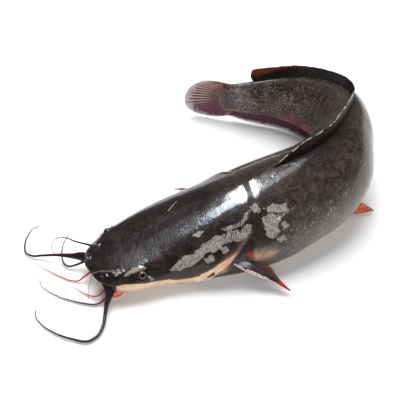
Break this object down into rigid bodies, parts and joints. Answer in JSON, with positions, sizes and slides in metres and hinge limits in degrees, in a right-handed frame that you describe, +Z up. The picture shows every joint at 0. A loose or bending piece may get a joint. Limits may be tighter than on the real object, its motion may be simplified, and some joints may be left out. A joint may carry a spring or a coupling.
{
  "type": "raw_whole_catfish",
  "caption": "Whole raw catfish with long barbels, lying on its belly with the body bent round in a hook and the dark skin wet.",
  "frame": {"origin": "the flat spot of the belly under the middle of the trunk, on the surface that the fish lies on", "axes": "+Z is up out of the surface, -X is the way the head points, +Y is the fish's right side, where the tail swings to"},
  "size_m": [0.3447, 0.2401, 0.0925],
  "materials": {
    "skin": "wet, smooth, scaleless dark grey-brown skin with a pale belly, and dark unpaired fins with a reddish margin",
    "eye": "wet, glossy, brown iris round a dark pupil",
    "paired_fin": "wet, thin skin over rays, dark purple-brown with red-orange edges",
    "barbel": "wet, smooth, dark purple-brown thread, the inner ones of the chin red"
  },
  "bodies": {
    "root": {"catfish": "skin", "eye_left": "eye", "eye_right": "eye", "pectoral_fin_left": "paired_fin", "pectoral_fin_right": "paired_fin", "pelvic_fin_left": "paired_fin", "pelvic_fin_right": "paired_fin", "barbel_maxillary_left": "barbel", "barbel_maxillary_right": "barbel", "barbel_nasal_left": "barbel", "barbel_nasal_right": "barbel", "barbel_mandible_outer_left": "barbel", "barbel_mandible_outer_right": "barbel", "barbel_mandible_inner_left": "barbel", "barbel_mandible_inner_right": "barbel"}
  },
  "joints": []
}
